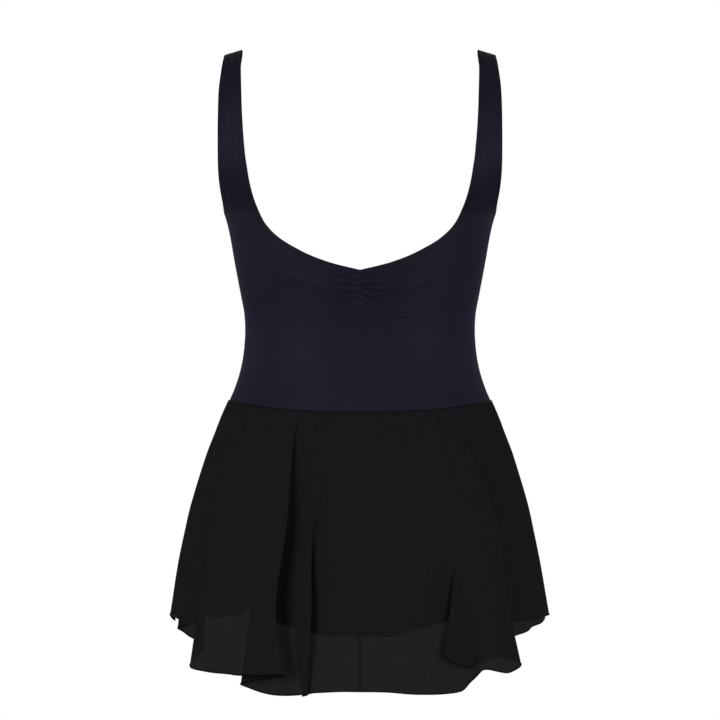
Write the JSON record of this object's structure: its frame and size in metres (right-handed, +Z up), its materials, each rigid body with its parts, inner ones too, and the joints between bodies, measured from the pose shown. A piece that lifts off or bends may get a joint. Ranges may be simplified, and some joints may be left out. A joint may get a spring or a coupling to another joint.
{
  "type": "ballet dress",
  "caption": "Skirted leotard in worn form: low scooped back with wide straps and a centre gather, full brief, and a short sheer circular skirt, hollow and open at neck, arms and legs.",
  "frame": {"origin": "midway between the two straps at the crest of the shoulders, where the wearer holds the dress up", "axes": "+Z up, +X to the left of someone who faces the wearer's front, and -Y out of the back of the dress, which is the pictured side"},
  "size_m": [0.4503, 0.352, 0.7423],
  "materials": {
    "stretch_knit": "fine matt stretch knit with a slight sheen, navy black",
    "chiffon": "sheer matt chiffon, black"
  },
  "bodies": {
    "root": {"bodice_back": "stretch_knit", "bodice_front": "stretch_knit", "brief_back": "stretch_knit", "brief_front": "stretch_knit", "skirt_left": "chiffon", "skirt_right": "chiffon"}
  },
  "joints": []
}
